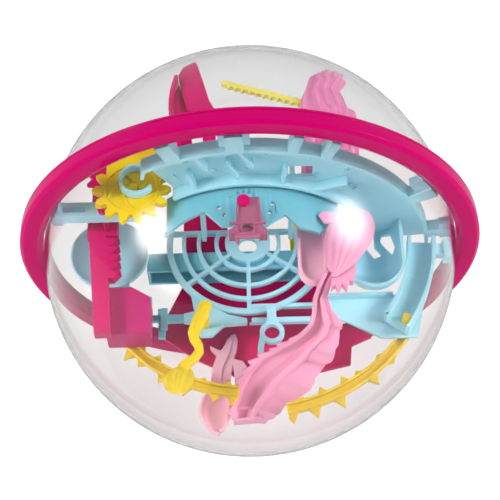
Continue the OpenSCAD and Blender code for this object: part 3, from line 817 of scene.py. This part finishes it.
handle = swept("spoon_handle", [
    (-18.2, -35.0, 1.6, -19.2, -17.4), (-18.6, -36.2, 2.6, -20.2, -17.0), (-20.0, -39.6, 2.8, -20.6, -17.0),
    (-22.6, -46.4, 2.8, -20.6, -17.0), (-23.8, -49.6, 2.5, -20.4, -17.0), (-23.6, -52.2, 2.0, -20.0, -17.0),
    (-21.8, -55.2, 1.9, -19.6, -17.0), (-21.6, -57.8, 1.9, -19.6, -17.0), (-23.4, -60.6, 2.0, -19.8, -17.0),
    (-26.2, -62.8, 2.3, -20.2, -17.0), (-28.2, -65.6, 2.6, -20.4, -17.0)])
ridge = swept("spoon_ridge", [
    (-18.9, -37.2, 0.7, -21.2, -19.6), (-22.4, -45.9, 0.7, -21.2, -19.6),
    (-23.2, -48.4, 0.6, -21.0, -19.6)])
stem = swept("spoon_stem", [(-19.3, -37.2, 1.5, -18, -1.4), (-19.3, -38.8, 1.5, -18, -1.4)], 16)
print("handle with its ridge, and the stem that holds it")

# %% [markdown]
# The spoon's bowl is a round, shallow shell with fine ribs from top to foot. Its rows widen and narrow
# like a circle, and both the bulge and the ribs fade to nothing at the edge.

# %% Spoon bowl
def ribbed_bowl(name, top, foot, half, front_y, bulge, ribs, rib_height):
    """A shallow ribbed bowl between two places in x and z, bulging to the front."""
    rows = []
    for i in range(33):
        v = i / 32
        x, z = top[0] + (foot[0] - top[0]) * v, top[1] + (foot[1] - top[1]) * v
        wide = half * math.sqrt(max(0.0, 1 - (2 * v - 1) ** 2)) + 0.05
        row = []
        for j in range(49):
            u = j / 24 - 1
            rise = (1 - u * u) * (1 - (2 * v - 1) ** 2)
            rib = rib_height * math.cos(u * math.pi * ribs) * rise ** 0.5
            row.append((x + wide * u, front_y + bulge * (1 - rise) - rib, z))
        rows.append(row)
    return lofted(name, rows, 1.0, edge=0)


bowl = ribbed_bowl("spoon_bowl", (-28.6, -64.2), (-30.8, -75.4), 5.7, -21.0, 3.4, 5, 0.35)
dressed(joined("spoon_track_piece", [handle, ridge, bowl, stem]), "yellow", "yellow", "spoon_track")

# %% [markdown]
# The two yellow tracks near the bottom of the ball are curved bands with thorns on both edges. One
# outline is worked out for each: along the outer arc with a spike at every thorn, and back along the
# inner arc. A thin curb on each edge makes the band a track.

# %% Thorn tracks
def arc_place(reach, angle):
    """A place in x and z on an arc about the ball's centre."""
    return (reach * math.cos(math.radians(angle)), reach * math.sin(math.radians(angle)))


def spike(thorns, angle, half_width):
    """How far the edge is pushed out at an angle by the nearest (angle, height) thorn."""
    return max([height * max(0, 1 - abs(angle - at) / half_width) for at, height in thorns] + [0])


def thorn_band(name, inner, outer, first, last, front_y, back_y, out_thorns, in_thorns):
    """A curved band with thorns on its outer and inner edge, and two curbs."""
    out_edge, in_edge = [], []
    count = last - first
    for i in range(count + 1):
        angle = first + (last - first) * i / count
        out_edge.append(arc_place(outer + spike(out_thorns, angle, 1.7), angle))
        in_edge.append(arc_place(inner - spike(in_thorns, angle, 1.9), angle))
    band = plate(name, out_edge + in_edge[::-1], front_y, back_y, 0.3)
    curbs = []
    turns = [first + (last - first) * i / 24 for i in range(25)]
    for low, high in ((inner - 0.2, inner + 0.8), (outer - 0.8, outer + 0.2)):
        curb = [arc_place(high, turn) for turn in turns] + [arc_place(low, turn) for turn in turns[::-1]]
        curbs.append(plate(name + "_curb", curb, front_y - 1.5, front_y + 0.4, 0.25))
    return joined(name, [band] + curbs)


left_thorns = thorn_band("left_thorn_piece", 67, 71, -146, -95, -2.4, 0.0,
                         [(-143, 3.4), (-136, 4.2), (-131, 2.4), (-122, 3.8), (-113, 4.4), (-103, 3.4),
                          (-97, 4.4)], [(-140, 3), (-134, 2.2), (-127, 3.4), (-108, 2.4), (-99, 3)])
dressed(left_thorns, "honey", "yellow", "left_thorn_track")
right_thorns = thorn_band("right_thorn_piece", 76, 80.2, -80, -33, -2.5, 0.0,
                          [(-79, 4.2), (-72, 4.6), (-64, 5), (-52, 4.0), (-44, 1.6)],
                          [(-75, 2.4), (-68, 3.6), (-60, 4.0), (-55, 2.2), (-46, 1.8)])
dressed(right_thorns, "honey", "yellow", "right_thorn_track")

# %% [markdown]
# Behind the slide's foot stands a pink fork with a pointed top. It is a plate with generously rounded
# edges, and a thin swept rod makes the raised spine on its front.

# %% Pink fork
fork = plate("pink_fork_body", [
    (-7.5, -35.6), (-6.4, -38.1), (-6.8, -42.9), (-7.7, -45.7), (-8.3, -47.6), (-6.4, -48.2),
    (-4.3, -48.7), (-2.6, -51.6), (-1.7, -54.5), (-2.4, -60), (-4.6, -66), (-7.8, -64), (-8.2, -53.3),
    (-8.6, -51.0), (-9.3, -54.2), (-10.4, -64), (-16.5, -66), (-18.1, -57.7), (-17.6, -52.1),
    (-16.3, -48.4), (-15.4, -45.5), (-18.0, -42.6), (-18.4, -41.1), (-15.8, -42.6), (-13.7, -43.6),
    (-11.9, -40.8), (-11.0, -38.4), (-9.3, -36.5)], 9.6, 12.9, 0.7)
spine = swept("pink_fork_spine", [(-8.4, -37.5, 0.5, 8.9, 10.4), (-10.2, -44, 0.8, 8.7, 10.4),
                                  (-13.6, -52, 0.9, 8.7, 10.4), (-14.4, -60, 0.7, 8.9, 10.4)], 12)
# The fork takes the paler pink, painted light that lifts its shade.
dressed(joined("pink_fork_piece", [fork, spine]), "shade_lifted_pink", "pink", "pink_fork")

# %% [markdown]
# Below the fork hangs a leaf-shaped pocket, hollow towards the viewer, which is a curved wall. The
# other pocket, at the leaf of the slide, is a tall trough with a round bottom. It is a flat moulding
# whose front is pushed in, as the tray is.

# %% Pink pockets
rows = []
for i in range(29):
    v = i / 28
    x, z = -14.6 - 1.6 * math.sin(math.pi * v), -62.5 - 19.5 * v
    wide = 6.3 * max(0.0, math.sin(math.pi * min(1, 0.13 + 0.87 * v))) ** 0.55 + 0.1
    depth = 4.6 * math.sin(math.pi * min(1, 0.1 + 0.88 * v)) ** 0.5
    row = []
    for j in range(25):
        u = j / 12 - 1
        row.append((x + wide * u, 7.6 + depth * (1 - u ** 4), z + 0.8 * u))
    rows.append(row)
pocket = lofted("pink_pocket_piece", rows, 1.3, edge=0.25)
# The pocket takes the paler pink, painted light that lifts its shade.
dressed(pocket, "shade_lifted_pink", "pink", "pink_pocket")

round_bottom = [(25.2 + 5.9 * math.cos(math.radians(-a)), -30 + 7.4 * math.sin(math.radians(-a)))
                for a in range(12, 180, 12)]
trough = plate("side_pocket_piece", [(19.3, -9), (31.1, -9), (31.1, -30)] + round_bottom + [(19.3, -30)],
               -38, -33, 0)
hollowed(trough, 1.3, 1.7)
rounded(trough, 0.35)
# The trough takes the paler pink, painted light that lifts its shade.
dressed(trough, "shade_lifted_pink", "pink", "side_pocket")

# %% [markdown]
# The round yellow gear has a raised swirl on its face. The CAD gear is right in its outline, so it
# stays, and the relief is laid on it: a low ring, a boss, and five curved arms. An arm is a swept rod
# along a spiral, made five times with its start turned by a fifth of the way round.

# %% Relief on the gear
GEAR = (-48, 3)


def oval(centre, across, up, sides, closed=False):
    """Places round an oval in x and z; a closed one comes back to its first place."""
    return [(centre[0] + across * math.cos(2 * math.pi * i / sides),
             centre[1] + up * math.sin(2 * math.pi * i / sides)) for i in range(sides + closed)]


def arm_on_gear(turn):
    """One curved arm of the swirl, turned about the gear's centre."""
    stations = []
    for i in range(9):
        t = i / 8
        angle = math.radians(turn + 62 * t)
        reach = 3.0 + 7.4 * t
        stations.append((GEAR[0] + reach * math.cos(angle), GEAR[1] + reach * math.sin(angle),
                         1.15 - 0.6 * t, -47.9 + 0.4 * t, -46.6))
    return swept("gear_arm", stations, 12)


gear_rim = swept("gear_rim", [(x, z, 0.55, -47.6, -46.6)
                              for x, z in oval(GEAR, 10.9, 10.9, 48, closed=True)], 12)
relief = [arm_on_gear(turn) for turn in range(0, 360, 72)] + [gear_rim]
bpy.ops.object.select_all(action="DESELECT")
bpy.ops.mesh.primitive_uv_sphere_add(segments=24, ring_count=12, radius=2.9 * MM)
boss = bpy.context.object
bpy.ops.object.mode_set(mode="EDIT")
bpy.ops.transform.resize(value=(1, 0.55, 1))
bpy.ops.object.mode_set(mode="OBJECT")
boss.data.transform(LEAN @ Matrix.Translation((GEAR[0] * MM, -47 * MM, GEAR[1] * MM)))
dressed(joined("gear_relief", relief + [boss]), "yellow", "yellow")

# %% [markdown]
# Small raised numbers tell the player how far the ball has come along the deck. They are plain text
# objects, one for each number, turned into meshes and laid on the deck's face, with their tops
# towards the ring. Text is a curve until it is converted, so it is converted before it is placed.

# %% Numbers on the deck
DECK_FACE = 3.0
NUMBER_PLACES = [(-118, 62), (-111, 71), (-103, 60), (-97, 72), (-90, 61), (-84, 71), (-69, 70),
                 (-63, 60), (-55, 69), (-47, 62)]
digits = []
for number, (angle, reach) in enumerate(NUMBER_PLACES, start=1):
    bpy.ops.object.select_all(action="DESELECT")
    bpy.ops.object.text_add()
    digit = bpy.context.object
    digit.data.body = str(number)
    digit.data.size = 5.4 * MM
    digit.data.extrude = 0.6 * MM
    digit.data.resolution_u = 3
    digit.data.align_x = "CENTER"
    digit.data.align_y = "CENTER"
    bpy.ops.object.convert(target="MESH")
    digit = bpy.context.object
    a = math.radians(angle)
    on_deck = Matrix(((-math.sin(a), math.cos(a), 0, reach * MM * math.cos(a)),
                      (math.cos(a), math.sin(a), 0, reach * MM * math.sin(a)),
                      (0, 0, -1, DECK_FACE * MM), (0, 0, 0, 1)))
    digit.data.transform(LEAN @ on_deck)
    digits.append(digit)
dressed(joined("deck_numbers", digits), "sky", "sky", smooth=20)

# %% [markdown]
# The rose cup is a thin scoop that swings on its pin. The CAD cup has the outline and the hole for
# the pin. The relief on its front is modelled here and rides on the cup: a raised edge down each
# side, a lip across it, and a round hollow with a floor and a soft rim, so light doesn't pass.

# %% Relief on the swinging cup
HOLLOW = (-0.7, -23.9)
cup_floor = plate("cup_floor", oval(HOLLOW, 2.9, 2.3, 24), -56.2, -55.5, 0.2)
cup_rim = swept("cup_rim", [(x, z, 0.45, -58.2, -57.0)
                            for x, z in oval(HOLLOW, 2.9, 2.4, 32, closed=True)], 12)
cup_lip = plate("cup_lip", [(-7.9, -21.4), (6.6, -21.4), (6.6, -22.4), (-7.9, -22.4)], -58.4, -57.2, 0.3)
cup_sides = [plate("cup_side", [(x0, -10.0), (x0 + 0.9, -10.0), (x1 + 0.9, -21.8), (x1, -21.8)],
                   -58.2, -57.2, 0.25) for x0, x1 in ((-4.5, -5.3), (3.3, 4.1))]
cup_foot = plate("cup_foot", [(-8.0, -26.2), (6.7, -26.2), (6.7, -27.0), (-8.0, -27.0)], -58.2, -57.2, 0.3)
dressed(joined("cup_relief", [cup_floor, cup_rim, cup_lip, cup_foot] + cup_sides), "rose", "rose_clear",
        body="cup")
